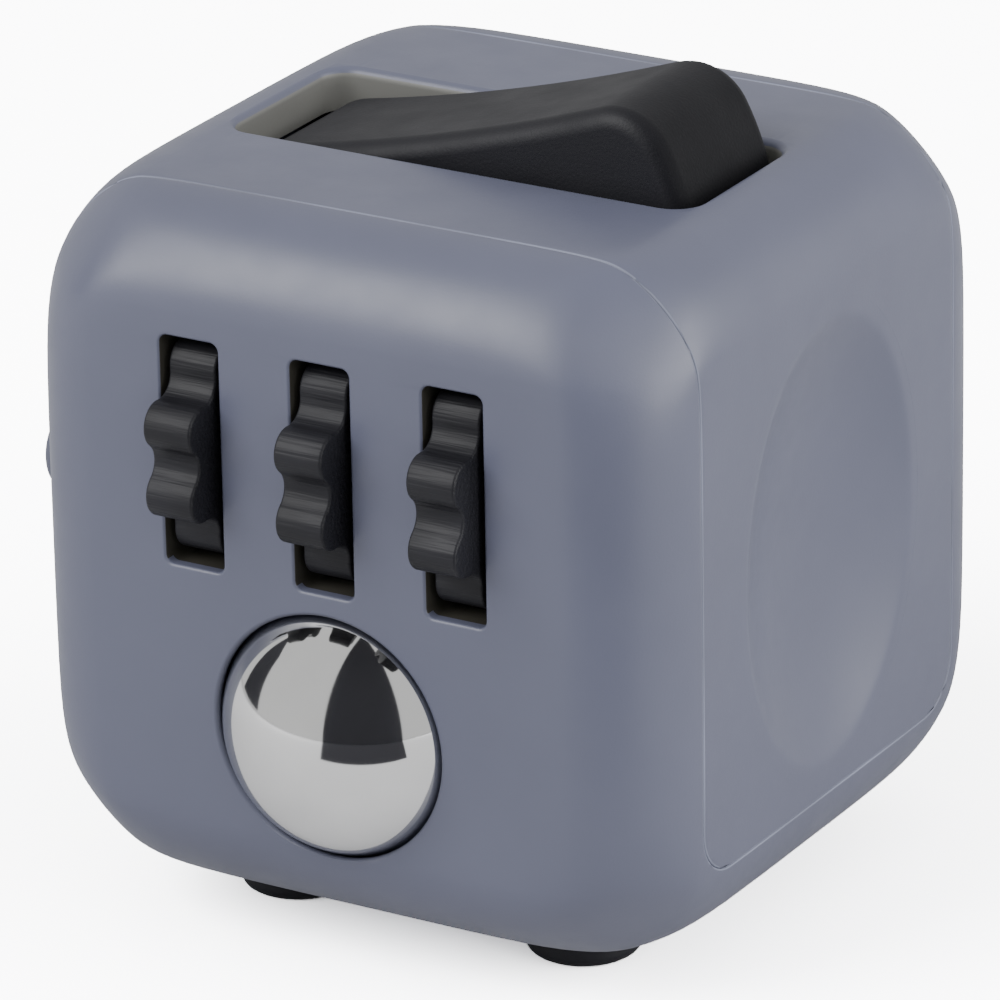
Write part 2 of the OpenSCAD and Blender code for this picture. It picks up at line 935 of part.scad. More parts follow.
cradle_shell();
cap_shell();
wheel_left();
wheel_middle();
wheel_right();
wheel_axle();
wheel_bracket();
wheel_click_spring();
wheel_bracket_screws();
steel_ball();
ball_cup();
ball_spring();
ball_guide();
ball_end_cap();
ball_click_dome();
ball_guide_screws();
rocker();
rocker_pin();
rocker_frame();
rocker_plunger();
rocker_spring();
rocker_frame_screws();
button_centre();
button_front_left();
button_front_right();
button_back_left();
button_back_right();
spring_centre();
spring_front_left();
spring_front_right();
spring_back_left();
spring_back_right();
button_plate();
click_domes();
silent_pads();
button_plate_screws();
dial();
dial_click_wheel();
dial_screw();
dial_click_spring();
dial_spring_screw();
joystick_cap();
joystick_stem();
joystick_slider();
joystick_base();
slide_springs();
lift_springs();
joystick_base_screws();
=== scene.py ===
"""The looks of a fidget cube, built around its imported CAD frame. Everything is in metres."""

import json
import math

import bmesh
import bpy
import numpy as np
from mathutils import Matrix, Vector


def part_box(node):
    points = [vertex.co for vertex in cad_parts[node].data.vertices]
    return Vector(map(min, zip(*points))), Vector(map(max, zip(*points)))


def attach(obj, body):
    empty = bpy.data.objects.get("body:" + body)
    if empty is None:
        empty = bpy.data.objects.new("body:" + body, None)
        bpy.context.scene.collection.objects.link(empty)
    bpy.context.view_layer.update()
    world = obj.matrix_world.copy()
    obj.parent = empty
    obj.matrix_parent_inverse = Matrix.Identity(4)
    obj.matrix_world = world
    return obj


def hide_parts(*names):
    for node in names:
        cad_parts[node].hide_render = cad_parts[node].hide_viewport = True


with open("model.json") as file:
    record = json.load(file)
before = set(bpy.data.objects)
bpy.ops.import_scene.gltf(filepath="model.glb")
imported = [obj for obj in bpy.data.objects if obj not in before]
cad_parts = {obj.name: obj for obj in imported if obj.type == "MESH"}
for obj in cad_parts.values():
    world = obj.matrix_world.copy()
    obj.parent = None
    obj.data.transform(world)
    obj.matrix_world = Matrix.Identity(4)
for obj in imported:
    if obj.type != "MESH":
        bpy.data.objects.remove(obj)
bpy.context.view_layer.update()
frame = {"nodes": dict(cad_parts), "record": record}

MM = 0.001

# ---- Sizes, from the frame where a node gives them and otherwise as on the real object ----

SHELL_LOW, SHELL_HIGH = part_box("cradle_shell")
CENTRE = (SHELL_LOW + SHELL_HIGH) / 2
HALF = (SHELL_HIGH.x - SHELL_LOW.x) / 2
WALL = 2.0 * MM
EDGE_R = 4.74 * MM
CORNER_CUT = 1.0 * MM
CORNER_SOFTNESS = 0.6 * MM
SEAM_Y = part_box("cap_shell")[1].y - 1.4 * MM
SEAM_GAP = 0.008 * MM
SEAM_BEVEL = 0.085 * MM
TAB_END = 12.2 * MM
TAB_CORNER_R = 2.5 * MM

# A shell's materials: its plastic comes first, then its openings' walls, which in the wheels' slots are
# darkened as painted shade, and its edges along the seam, which are lighter as a painted highlight.
WALL_INDEX, SEAM_HIGHLIGHT_INDEX = 1, 2


# ---- Mesh helpers ----


def new_object(name, verts, faces):
    mesh = bpy.data.meshes.new(name)
    mesh.from_pydata([tuple(v) for v in verts], [], [tuple(f) for f in faces])
    mesh.update()
    obj = bpy.data.objects.new(name, mesh)
    bpy.context.scene.collection.objects.link(obj)
    return obj


def tidy_mesh(obj, merge=1e-7):
    """Merges doubled points and turns every face outwards."""
    bm = bmesh.new()
    bm.from_mesh(obj.data)
    bmesh.ops.remove_doubles(bm, verts=bm.verts, dist=merge)
    bmesh.ops.recalc_face_normals(bm, faces=bm.faces)
    bm.to_mesh(obj.data)
    bm.free()
    return obj


def loft(name, rings, caps=True):
    """A skin over rings of equally many points, with an n-gon at each end if caps is true."""
    n = len(rings[0])
    verts = [p for ring in rings for p in ring]
    faces = []
    for i in range(len(rings) - 1):
        for j in range(n):
            k = (j + 1) % n
            faces.append((i * n + j, i * n + k, (i + 1) * n + k, (i + 1) * n + j))
    if caps:
        faces.append(tuple(reversed(range(n))))
        faces.append(tuple((len(rings) - 1) * n + j for j in range(n)))
    return tidy_mesh(new_object(name, verts, faces))


def circle_points(r, n=96):
    angles = np.arange(n) * 2 * math.pi / n
    return np.stack([r * np.cos(angles), r * np.sin(angles)], axis=1)


def rounded_rect_points(w, h, r, steps=8):
    """A rounded rectangle about the origin, with the same number of points at every size."""
    points = []
    for cx, cy, start in ((1, 1, 0), (-1, 1, 90), (-1, -1, 180), (1, -1, 270)):
        for i in range(steps + 1):
            a = math.radians(start + 90 * i / steps)
            x = cx * (w / 2 - r) + r * math.cos(a)
            y = cy * (h / 2 - r) + r * math.sin(a)
            points.append((x, y))
    return np.array(points)


def place(points, matrix, height):
    """Flat points at a height over a face, as points in space."""
    return [matrix @ Vector((p[0], p[1], height)) for p in points]


def face_matrix(face):
    """The axes of a casing face: the origin is the face's middle, and z points out of it."""
    axes = {
        "front": ((1, 0, 0), (0, 0, 1), (0, -1, 0)),
        "back": ((-1, 0, 0), (0, 0, 1), (0, 1, 0)),
        "right": ((0, 1, 0), (0, 0, 1), (1, 0, 0)),
        "left": ((0, -1, 0), (0, 0, 1), (-1, 0, 0)),
        "top": ((1, 0, 0), (0, 1, 0), (0, 0, 1)),
        "bottom": ((1, 0, 0), (0, -1, 0), (0, 0, -1)),
    }
    u, v, n = (Vector(a) for a in axes[face])
    m = Matrix((u, v, n)).transposed().to_4x4()
    m.translation = CENTRE + HALF * n
    return m


def boolean(obj, cutter, operation="DIFFERENCE"):
    """Applies an exact boolean and removes the cutter."""
    modifier = obj.modifiers.new("cut", "BOOLEAN")
    modifier.operation = operation
    modifier.object = cutter
    modifier.solver = "EXACT"
    depsgraph = bpy.context.evaluated_depsgraph_get()
    mesh = bpy.data.meshes.new_from_object(obj.evaluated_get(depsgraph))
    obj.modifiers.clear()
    obj.data = mesh
    bpy.data.objects.remove(cutter)
    return obj


def joined(name, objects):
    """One object with the meshes of several."""
    bm = bmesh.new()
    for o in objects:
        bm.from_mesh(o.data)
    mesh = bpy.data.meshes.new(name)
    bm.to_mesh(mesh)
    bm.free()
    for o in objects:
        bpy.data.objects.remove(o)
    obj = bpy.data.objects.new(name, mesh)
    bpy.context.scene.collection.objects.link(obj)
    return obj


def shade(obj, sharp_angle=35):
    """Smooth shading that leaves flat faces flat: sharp edges by angle, and normals weighted by area."""
    mesh = obj.data
    mesh.shade_smooth()
    mesh.set_sharp_from_angle(angle=math.radians(sharp_angle))
    modifier = obj.modifiers.new("weighted_normals", "WEIGHTED_NORMAL")
    modifier.mode = "FACE_AREA"
    modifier.weight = 80
    modifier.keep_sharp = True
    return obj


def piece(obj, body, slot, material, *replaced):
    """Gives a finished piece its body and its material, and hides the CAD nodes it stands for. slot is not
    used.
    """
    obj.data.materials.clear()
    obj.data.materials.append(material)
    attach(obj, body)
    if replaced:
        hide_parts(*replaced)
    return obj


# ---- Cutters: each opening has a rounded lip ----

# The wall just behind a lip is a band of its own, which can keep the face's material.
LIP_BAND = 0.35 * MM
OVER_FACE = 0.02 * MM


def lip_levels(lip_r, depth, steps=6):
    """(growth, height) pairs of an opening's wall: straight, then flaring into the face round a lip."""
    last = math.radians(84)
    levels = [(0.0, -depth), (0.0, -lip_r - LIP_BAND)]
    for i in range(steps + 1):
        a = last * i / steps
        levels.append((lip_r * (1 - math.cos(a)), lip_r * (math.sin(a) - 1)))
    rise = OVER_FACE - levels[-1][1]
    levels.append((levels[-1][0] + rise * math.tan(last), OVER_FACE))
    return levels


def opening(name, face, outline, lip_r, depth, at=(0, 0)):
    """A cutter for an opening in a face. outline(growth) gives its points."""
    m = face_matrix(face) @ Matrix.Translation((at[0], at[1], 0))
    rings = [place(outline(g), m, h) for g, h in lip_levels(lip_r, depth)]
    return loft(name, rings)


def turned(name, matrix, profile, n=128):
    """A closed turned solid about z, from (radius, height) pairs that start and end on the axis."""
    inner = profile[1:-1]
    verts = [matrix @ Vector((0, 0, profile[0][1]))]
    for r, h in inner:
        verts += place(circle_points(r, n), matrix, h)
    verts.append(matrix @ Vector((0, 0, profile[-1][1])))
    faces = [(0, 1 + (j + 1) % n, 1 + j) for j in range(n)]
    for i in range(len(inner) - 1):
        a, b = 1 + i * n, 1 + (i + 1) * n
        for j in range(n):
            k = (j + 1) % n
            faces.append((a + j, a + k, b + k, b + j))
    a, last = 1 + (len(inner) - 1) * n, len(verts) - 1
    faces += [(a + j, a + (j + 1) % n, last) for j in range(n)]
    return tidy_mesh(new_object(name, verts, faces))


def arc(cx, cy, r, start, end, steps):
    """Points round part of a circle, by angle in degrees."""
    angles = [math.radians(start + (end - start) * i / steps) for i in range(steps + 1)]
    return [(cx + r * math.cos(a), cy + r * math.sin(a)) for a in angles]


# ---- Casing ----


def rounded_skin(inset, arc_steps):
    """A cube with rounded edges, whose corners are drawn in softly to a sphere. Each face is a grid."""
    half = HALF - inset
    r = EDGE_R - inset
    b = half - r
    reach = b * math.sqrt(3) + r - CORNER_CUT
    # The flat stretches have their lines closest together near the edges, where the corners bend them.
    near_edge = [b - d * MM for d in (0.25, 0.6, 1.0, 1.6, 2.4, 3.4, 4.8, 6.6, 9.0)]
    flats = [-x for x in near_edge] + near_edge[::-1]
    arcs = [45 * i / arc_steps for i in range(1, arc_steps + 1)]
    line = [(-b, -a) for a in reversed(arcs)] + [(x, 0) for x in flats] + [(b, a) for a in arcs]
    verts, faces = [], []
    for face in ("front", "back", "right", "left", "top", "bottom"):
        m = face_matrix(face).to_3x3()
        first = len(verts)
        for v, av in line:
            for u, au in line:
                normal = Vector((math.tan(math.radians(au)), math.tan(math.radians(av)), 1))
                p = Vector((u, v, b)) + r * normal.normalized()
                d = p.length
                soft = CORNER_SOFTNESS * math.log1p(math.exp((d - reach) / CORNER_SOFTNESS))
                verts.append(CENTRE + m @ (p * ((d - soft) / d)))
        n = len(line)
        for i in range(n - 1):
            for j in range(n - 1):
                a = first + i * n + j
                faces.append((a, a + 1, a + n + 1, a + n))
    return tidy_mesh(new_object("skin", verts, faces), merge=1e-6)


def seam_prism(grow):
    """The long prism inside whose outline the cap shell lies."""
    w = 2 * (SEAM_Y + grow)
    low = -TAB_END - grow
    tall = 3 * HALF
    points = rounded_rect_points(w, tall, TAB_CORNER_R, steps=10)
    rings = []
    for x in (-2 * HALF, 2 * HALF):
        rings.append([CENTRE + Vector((x, p[0], p[1] + low + tall / 2)) for p in points])
    return loft("prism", rings)


DISH_HALF_W = 7.72 * MM
DISH_HALF_H = 10.6 * MM
DISH_DEPTH = 1.8 * MM
DISH_RIM = 0.045 * MM
DISH_SKIM = 0.004 * MM


def dish_depth_at(u, v):
    """Depth of the thumb dish below the face. It has a different curvature each way and a soft rim."""
    r_w = (DISH_HALF_W**2 + DISH_DEPTH**2) / (2 * DISH_DEPTH)
    r_h = (DISH_HALF_H**2 + DISH_DEPTH**2) / (2 * DISH_DEPTH)
    across = r_h - r_w + math.sqrt(r_w**2 - u**2)
    d = DISH_DEPTH - r_h + math.sqrt(across**2 - v**2)
    return (d + math.sqrt(d * d + 4 * DISH_RIM**2)) / 2


def dish_cutter():
    """A cutter for the thumb dish, which leaves a faint soft rim around it."""
    m = face_matrix("right")
    n = 128
    shares = [i / 20 for i in range(1, 19)] + [0.925, 0.95, 0.97, 0.985, 1, 1.015, 1.03, 1.05, 1.08]
    rings = []
    for s in shares:
        points = [(s * DISH_HALF_W * x, s * DISH_HALF_H * y) for x, y in circle_points(1, n)]
        rings.append([m @ Vector((u, v, DISH_SKIM - dish_depth_at(u, v))) for u, v in points])
    flare, over = 1.02, 0.3 * MM
    rings.append([m @ Vector((u * flare, v * flare, over)) for u, v in points])
    return loft("dish", rings)


SLOT_W, SLOT_H, SLOT_CORNER_R, SLOT_LIP = 3.03 * MM, 10.89 * MM, 0.4 * MM, 0.16 * MM
WINDOW_L, WINDOW_W, WINDOW_CORNER_R, WINDOW_LIP = 23.9 * MM, 9.55 * MM, 1.3 * MM, 0.45 * MM
BUTTON_HOLE_R, BUTTON_HOLE_LIP = 2.85 * MM, 0.2 * MM
BALL_HOLE_R, BALL_RELIEF_R, BALL_HOLE_LIP = 5.8 * MM, 6.43 * MM, 0.22 * MM
RECESS_DEPTH = 0.8 * MM


def slot_outline(growth):
    return rounded_rect_points(SLOT_W + 2 * growth, SLOT_H + 2 * growth, SLOT_CORNER_R + growth)


def window_outline(growth):
    return rounded_rect_points(WINDOW_L + 2 * growth, WINDOW_W + 2 * growth, WINDOW_CORNER_R + growth)


def round_outline(r):
    return lambda growth: circle_points(r + growth)


def node_middle(node):
    low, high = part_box(node)
    return (low + high) / 2


WHEELS = ("wheel_left", "wheel_middle", "wheel_right")
BUTTONS = (
    "button_centre",
    "button_front_left",
    "button_front_right",
    "button_back_left",
    "button_back_right",
)
BALL = node_middle("steel_ball")
AXLE = node_middle("wheel_axle")
WHEEL_X = [node_middle(w).x for w in WHEELS]


def lipped_profile(r, lip_r, depth):
    """Profile of a round opening from its floor up and out over its lip, for a turned cutter."""
    return [(r + g, h) for g, h in lip_levels(lip_r, depth)]


def ball_cutter():
    """A round hole that widens behind the face to follow the ball."""
    depth = BALL.y - SHELL_LOW.y
    mouth = math.degrees(math.asin(BALL_HOLE_R / BALL_RELIEF_R))
    relief = [(x, y - depth) for y, x in arc(0, 0, BALL_RELIEF_R, 180, mouth, 24)]
    lip = [p for p in lipped_profile(BALL_HOLE_R, BALL_HOLE_LIP, WALL / 2) if p[1] > relief[-1][1]]
    profile = relief + lip + [(0, lip[-1][1])]
    m = face_matrix("front") @ Matrix.Translation((0, BALL.z - CENTRE.z, 0))
    return turned("ball_hole", m, profile)


def recess_cutter(face, r, hole_r, floor_r, lip_r):
    """A round recess with a round hole in its floor. floor_r rounds the floor into the wall."""
    profile = [(0, -3 * WALL), (hole_r, -3 * WALL), (hole_r, -RECESS_DEPTH)]
    profile += arc(r - floor_r, floor_r - RECESS_DEPTH, floor_r, 270, 360, 5)
    profile += [p for p in lipped_profile(r, lip_r, RECESS_DEPTH) if p[1] > floor_r - RECESS_DEPTH]
    profile.append((0, profile[-1][1]))
    return turned("recess", face_matrix(face), profile)


def casing_cutters():
    cutters = [ball_cutter(), dish_cutter()]
    for x in WHEEL_X:
        at = (x, AXLE.z - CENTRE.z)
        cutters.append(opening("slot", "front", slot_outline, SLOT_LIP, 2 * WALL, at))
    cutters.append(opening("window", "top", window_outline, WINDOW_LIP, 2 * WALL))
    for b in BUTTONS:
        middle = node_middle(b)
        at = (middle.x, -middle.y)
        outline = round_outline(BUTTON_HOLE_R)
        cutters.append(opening("hole", "bottom", outline, BUTTON_HOLE_LIP, 2 * WALL, at))
    cutters.append(recess_cutter("left", 9.25 * MM, 2.05 * MM, floor_r=0.15 * MM, lip_r=0.25 * MM))
    cutters.append(recess_cutter("back", 7.5 * MM, 4.1 * MM, floor_r=0.5 * MM, lip_r=0.5 * MM))
    return joined("cutters", cutters)


def bevel_seam(obj, prism_grow):
    """Rounds the shell's outer edge along the seam."""
    bm = bmesh.new()
    bm.from_mesh(obj.data)
    side = SEAM_Y + prism_grow
    low = -TAB_END - prism_grow
    arc_y, arc_z = side - TAB_CORNER_R, low + TAB_CORNER_R
    close, close_on_arc = 0.002 * MM, 0.02 * MM

    def on_seam(v):
        """True for the points of the outer skin on the seam, and false for those on the inner skin."""
        p = v.co - CENTRE
        outside = max(abs(p.x), p.z) - (HALF - WALL)
        if outside < 0.9 * MM and p.length < HALF * 1.2:
            return False
        y, z = abs(p.y), p.z
        if z > arc_z:
            return abs(y - side) < close
        if y < arc_y:
            return abs(z - low) < close
        return abs(math.hypot(y - arc_y, z - arc_z) - TAB_CORNER_R) < close_on_arc

    edges = []
    for e in bm.edges:
        if len(e.link_faces) != 2 or not all(on_seam(v) for v in e.verts):
            continue
        if e.calc_face_angle(0) > math.radians(40):
            edges.append(e)
    # The bevel's faces take the lighter seam material, a painted highlight.
    bmesh.ops.bevel(
        bm,
        geom=edges,
        offset=SEAM_BEVEL,
        offset_type="OFFSET",
        segments=3,
        profile=0.5,
        affect="EDGES",
        material=SEAM_HIGHLIGHT_INDEX,
    )
    bm.to_mesh(obj.data)
    bm.free()


def shell_piece(obj, node, shell, walls, seam_highlight, inside):
    """A finished shell, with other materials on its openings' walls and on its edges along the seam."""
    shade(obj)
    indices = [p.material_index for p in obj.data.polygons]
    piece(obj, "casing", "shell_plastic", shell, node)
    obj.data.materials.append(walls)
    obj.data.materials.append(seam_highlight)
    for polygon, index in zip(obj.data.polygons, indices):
        polygon.material_index = WALL_INDEX if inside(polygon.center - CENTRE) else index


def in_slot_wall(p):
    """True inside a wheel's slot, whose walls take a darker colour that is painted shade. Its bottom wall
    keeps the shell's plastic in a band behind the lip.
    """
    margin = 0.03 * MM
    near = min(abs(p.x + CENTRE.x - x) for x in WHEEL_X) < SLOT_W / 2 + margin
    height = p.z + CENTRE.z - AXLE.z
    at_bottom = height <= 5 * margin - SLOT_H / 2
    lip = SLOT_LIP + LIP_BAND if at_bottom else SLOT_LIP * 0.6
    return near and abs(height) < SLOT_H / 2 + margin and -HALF + lip < p.y < -HALF + 2 * WALL


def in_window_wall(p):
    """True inside the rocker's window, from halfway down its lip."""
    margin = 0.1 * MM
    near = abs(p.x) < WINDOW_L / 2 + margin and abs(p.y) < WINDOW_W / 2 + margin
    return near and HALF - 2 * WALL < p.z < HALF - WINDOW_LIP / 2


def make_casing(shell, slot_walls_painted_shade, window_walls, seam_highlight):
    """The two shells: one hollow body with every opening in it, split along the seam."""
    body = rounded_skin(0, 12)
    boolean(body, casing_cutters())
    boolean(body, rounded_skin(WALL, 6))
    cap = bpy.data.objects.new("cap_shell_skin", body.data.copy())
    bpy.context.scene.collection.objects.link(cap)
    body.name = "cradle_shell_skin"
    boolean(cap, seam_prism(-SEAM_GAP / 2), "INTERSECT")
    boolean(body, seam_prism(SEAM_GAP / 2))
    bevel_seam(cap, -SEAM_GAP / 2)
    bevel_seam(body, SEAM_GAP / 2)
    shell_piece(cap, "cap_shell", shell, window_walls, seam_highlight, in_window_wall)
    shell_piece(body, "cradle_shell", shell, slot_walls_painted_shade, seam_highlight, in_slot_wall)


# ---- Wheels ----

WHEEL_TEETH = 8
WHEEL_R = 5.3 * MM
WHEEL_TOOTH_R = 1.1 * MM
WHEEL_BORE_R = 0.8 * MM
WHEEL_BEVEL = 0.14 * MM


def wheel_outline(inset):
    """The wheel's outline about its axle: round teeth that run smoothly into round hollows."""
    half_step = math.pi / WHEEL_TEETH
    ring = WHEEL_R - WHEEL_TOOTH_R
    bow = 2 * ring * (1 - math.cos(half_step))
    hollow = (bow * ring - WHEEL_TOOTH_R**2) / (2 * WHEEL_TOOTH_R - bow)
    outer = ring + hollow
    tooth_span = math.atan2(outer * math.sin(half_step), outer * math.cos(half_step) - ring)
    hollow_span = math.atan2(ring * math.sin(half_step), outer - ring * math.cos(half_step))
    points = []
    for k in range(WHEEL_TEETH):
        a = (2 * k + 1) * half_step
        for i in range(17):
            b = a + tooth_span * (i / 8 - 1)
            r = WHEEL_TOOTH_R - inset
            points.append((ring * math.cos(a) + r * math.cos(b), ring * math.sin(a) + r * math.sin(b)))
        a += half_step
        for i in range(1, 10):
            b = a + math.pi + hollow_span * (1 - i / 5)
            r = hollow + inset
            points.append((outer * math.cos(a) + r * math.cos(b), outer * math.sin(a) + r * math.sin(b)))
    return points


def quarter_round(r, steps):
    """(inset, drop) pairs round a quarter circle, from the side of a part to its top."""
    turns = [math.radians(90 * i / steps) for i in range(steps + 1)]
    return [(r * (1 - math.sin(t)), r * (1 - math.cos(t))) for t in turns]


def make_wheel(node, material):
    """A toothed wheel on its bore, with small rounds where its teeth meet its sides."""
    low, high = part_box(node)
    middle, half_w = (low + high) / 2, (high.x - low.x) / 2
    edge = quarter_round(WHEEL_BEVEL, 4)
    levels = [(inset, -half_w + drop) for inset, drop in edge]
    levels += [(inset, half_w - drop) for inset, drop in reversed(edge)]
    rings = []
    outline = wheel_outline(0)
    first = math.degrees(math.atan2(outline[0][1], outline[0][0]))
    bore = arc(0, 0, WHEEL_BORE_R, first, first + 360, len(outline))[:-1]
    for points, x in [(bore, -half_w)] + [(wheel_outline(i), x) for i, x in levels] + [(bore, half_w)]:
        rings.append([Vector((middle.x + x, AXLE.y + p[0], AXLE.z + p[1])) for p in points])
    rings.append(rings[0])
    wheel = loft(node + "_toothed", rings, caps=False)
    shade(wheel, 30)
    return piece(wheel, node, "wheel_plastic", material, node)


# ---- Ball ----


def make_ball(material):
    low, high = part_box("steel_ball")
    r = (high.x - low.x) / 2
    profile = arc(0, 0, r, -90, 90, 72)
    profile[0], profile[-1] = (0, -r), (0, r)
    m = Matrix.Translation(BALL) @ Matrix.Rotation(math.radians(90), 4, "X")
    ball = turned("steel_ball_polished", m, profile, 144)
    ball.data.shade_smooth()
    return piece(ball, "ball", "polished_steel", material, "steel_ball")


# ---- Rocker ----

PIVOT = node_middle("rocker_pin")
ROCKER_W = 8.5 * MM
ROCKER_TILT = 15
ROCKER_R = 11.82 * MM
ROCKER_TIP_R = 2.85 * MM
ROCKER_TIP_Z = 2.2 * MM
ROCKER_SKIRT = 1.6 * MM
ROCKER_LOW_POINT = 4.7 * MM
ROCKER_ROUND = 0.9 * MM
ROCKER_SIDE_T = 1.2 * MM
ROCKER_CAM_R = 2.6 * MM
ROCKER_BORE_R = 0.85 * MM


def rocker_outline():
    """(x, z, nx, nz) round the rocker, level about its pivot. The arcs run smoothly into each other."""
    tip_x = math.sqrt((ROCKER_R - ROCKER_TIP_R) ** 2 - ROCKER_TIP_Z**2)
    rise = ROCKER_LOW_POINT - ROCKER_TIP_Z
    hollow_r = (tip_x**2 + rise**2 - ROCKER_TIP_R**2) / (2 * (ROCKER_TIP_R - rise))
    foot = -math.degrees(math.asin(ROCKER_SKIRT / ROCKER_R))
    shoulder = math.degrees(math.atan2(ROCKER_TIP_Z, tip_x))
    lean = math.degrees(math.atan2(tip_x, rise + hollow_r))
    half = []
    for i in range(10):
        a = math.radians(foot + (shoulder - foot) * i / 9)
        half.append((ROCKER_R * math.cos(a), ROCKER_R * math.sin(a), math.cos(a), math.sin(a)))
    for i in range(1, 25):
        a = math.radians(shoulder + (90 + lean - shoulder) * i / 24)
        x, z = tip_x + ROCKER_TIP_R * math.cos(a), ROCKER_TIP_Z + ROCKER_TIP_R * math.sin(a)
        half.append((x, z, math.cos(a), math.sin(a)))
    for i in range(1, 25):
        a = math.radians(lean * (1 - (i - 0.5) / 24))
        x, z = hollow_r * math.sin(a), ROCKER_LOW_POINT + hollow_r * (1 - math.cos(a))
        half.append((x, z, -math.sin(a), math.cos(a)))
    return half + [(-x, z, -nx, nz) for x, z, nx, nz in reversed(half)]


def level_prism(name, points, half_w, m):
    """A prism along Y from flat points in the level rocker's side view."""
    return loft(name, [[m @ Vector((x, y, z)) for x, z in points] for y in (-half_w, half_w)])


def make_rocker(material):
    """A hollow rocker with rounded sides, and a cam with the pin's bore across its room."""
    outline = rocker_outline()
    steps = 8
    m = Matrix.Translation(PIVOT) @ Matrix.Rotation(math.radians(-ROCKER_TILT), 4, "Y")
    rings = []
    for side in (-1, 1):
        for i in range(steps + 1):
            t = math.radians(90 * (i if side < 0 else steps - i) / steps)
            inset, drop = ROCKER_ROUND * (1 - math.sin(t)), ROCKER_ROUND * (1 - math.cos(t))
            y = side * (ROCKER_W / 2 - drop)
            rings.append([m @ Vector((x - nx * inset, y, z - nz * inset)) for x, z, nx, nz in outline])
    rocker = loft("rocker_cap", rings)
    room_x, room_low, room_high = 9.6 * MM, -4 * MM, 2.9 * MM
    room = [(-room_x, room_low), (room_x, room_low), (room_x, room_high), (-room_x, room_high)]
    boolean(rocker, level_prism("room", room, ROCKER_W / 2 - ROCKER_SIDE_T, m))
    web_x, web_top = 1.5 * MM, 3.2 * MM
    cam = arc(0, 0, ROCKER_CAM_R, -210, 30, 40) + [(web_x, web_top), (-web_x, web_top)]
    boolean(rocker, level_prism("cam", cam, ROCKER_W / 2 - ROCKER_SIDE_T / 2, m), "UNION")
    boolean(rocker, level_prism("bore", arc(0, 0, ROCKER_BORE_R, 0, 354, 59), ROCKER_W, m))
    shade(rocker, 28)
    return piece(rocker, "rocker", "trim_plastic", material, "rocker")


# ---- Buttons, dial and joystick: turned parts ----


def make_button(node, body, material):
    """A round foot with a rounded rim, and inside the casing a flange with a boss for the spring."""
    low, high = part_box(node)
    m = Matrix.Translation(Vector(((low.x + high.x) / 2, (low.y + high.y) / 2, 0)))
    foot_r, rim_r, flange_r, boss_r = 2.7 * MM, 0.55 * MM, (high.x - low.x) / 2, 1 * MM
    height = high.z - low.z
    flange_low, flange_high = height - 1.3 * MM, height - 0.3 * MM
    profile = [(0, height), (boss_r, height), (boss_r, flange_high), (flange_r, flange_high)]
    profile += [(flange_r, flange_low), (foot_r, flange_low)]
    profile += arc(foot_r - rim_r, rim_r, rim_r, 0, -90, 8)
    profile.append((0, 0))
    button = turned(node + "_cap", m, profile, 96)
    shade(button, 30)
    return piece(button, body, "trim_plastic", material, node)


def make_dial(material):
    """A disc with a rounded rim and a faintly hollow face, a stepped shaft and a finger nub."""
    m = face_matrix("left")
    out = m.translation.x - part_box("dial")[0].x
    nub_r, nub_edge, nub_x, nub_tall = 2.1 * MM, 0.5 * MM, 6.2 * MM, 2.32 * MM
    face, back, r, edge, chamfer = out - nub_tall, -0.7 * MM, 9 * MM, 0.6 * MM, 0.1 * MM
    screw_r, screw_end, neck_r, neck_end = 0.62 * MM, -1.1 * MM, 1.2 * MM, -4.3 * MM
    shaft_r, shaft_end = 2 * MM, -3.2 * MM
    profile = [(0, screw_end), (screw_r, screw_end), (screw_r, neck_end), (neck_r, neck_end)]
    profile += [(neck_r, shaft_end), (shaft_r, shaft_end), (shaft_r, back), (r - chamfer, back)]
    profile += [(r, back + chamfer)] + arc(r - edge, face - edge, edge, 0, 90, 8)
    dip, dip_share = 0.1 * MM, 0.92
    shares = (0.9, 0.85, 0.75, 0.6, 0.4, 0.2)
    profile += [(r * x, face - dip * (1 - (x / dip_share) ** 4)) for x in shares]
    profile.append((0, face - dip))
    dial = turned("dial_knob", m, profile, 128)
    nub = [(0, face - 1 * MM), (nub_r, face - 1 * MM)]
    nub += arc(nub_r - nub_edge, out - nub_edge, nub_edge, 0, 90, 8) + [(0, out)]
    boolean(dial, turned("nub", m @ Matrix.Translation((nub_x, 0, 0)), nub, 64), "UNION")
    shade(dial, 30)
    return piece(dial, "dial", "shell_plastic", material, "dial")


def make_joystick_cap(material):
    """A round thumb cap with a hollow face that has three fine rings in it."""
    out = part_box("joystick_cap")[1].y - face_matrix("back").translation.y
    low, r, edge, low_edge = -0.45 * MM, 4.2 * MM, 0.9 * MM, 0.3 * MM
    socket_r, socket_end = 1.42 * MM, out - 1 * MM
    profile = [(0, socket_end), (socket_r, socket_end), (socket_r, low)]
    profile += arc(r - low_edge, low + low_edge, low_edge, -90, 0, 4)
    profile += arc(r - edge, out - edge, edge, 0, 84, 8)
    hollow, hollow_r, bowl_r, steps = 0.45 * MM, 3.0 * MM, 11 * MM, 50
    ring_step, ring_t = 0.9 * MM, 0.05 * MM
    for i in range(steps):
        x = hollow_r * (1 - i / steps)
        wave = math.sin(x / ring_step * 2 * math.pi) if x > ring_step else 0.0
        bowl = bowl_r - math.sqrt(bowl_r**2 - x * x)
        profile.append((x, out - hollow + bowl - ring_t * max(0.0, wave)))
    profile.append((0, out - hollow))
    cap = turned("joystick_thumb_cap", face_matrix("back"), profile, 96)
    shade(cap, 30)
    return piece(cap, "joystick", "trim_plastic", material, "joystick_cap")


# ---- Materials ----

# Nearly all of a noise texture's values lie between these.
NOISE_LOW, NOISE_HIGH = 0.3, 0.7


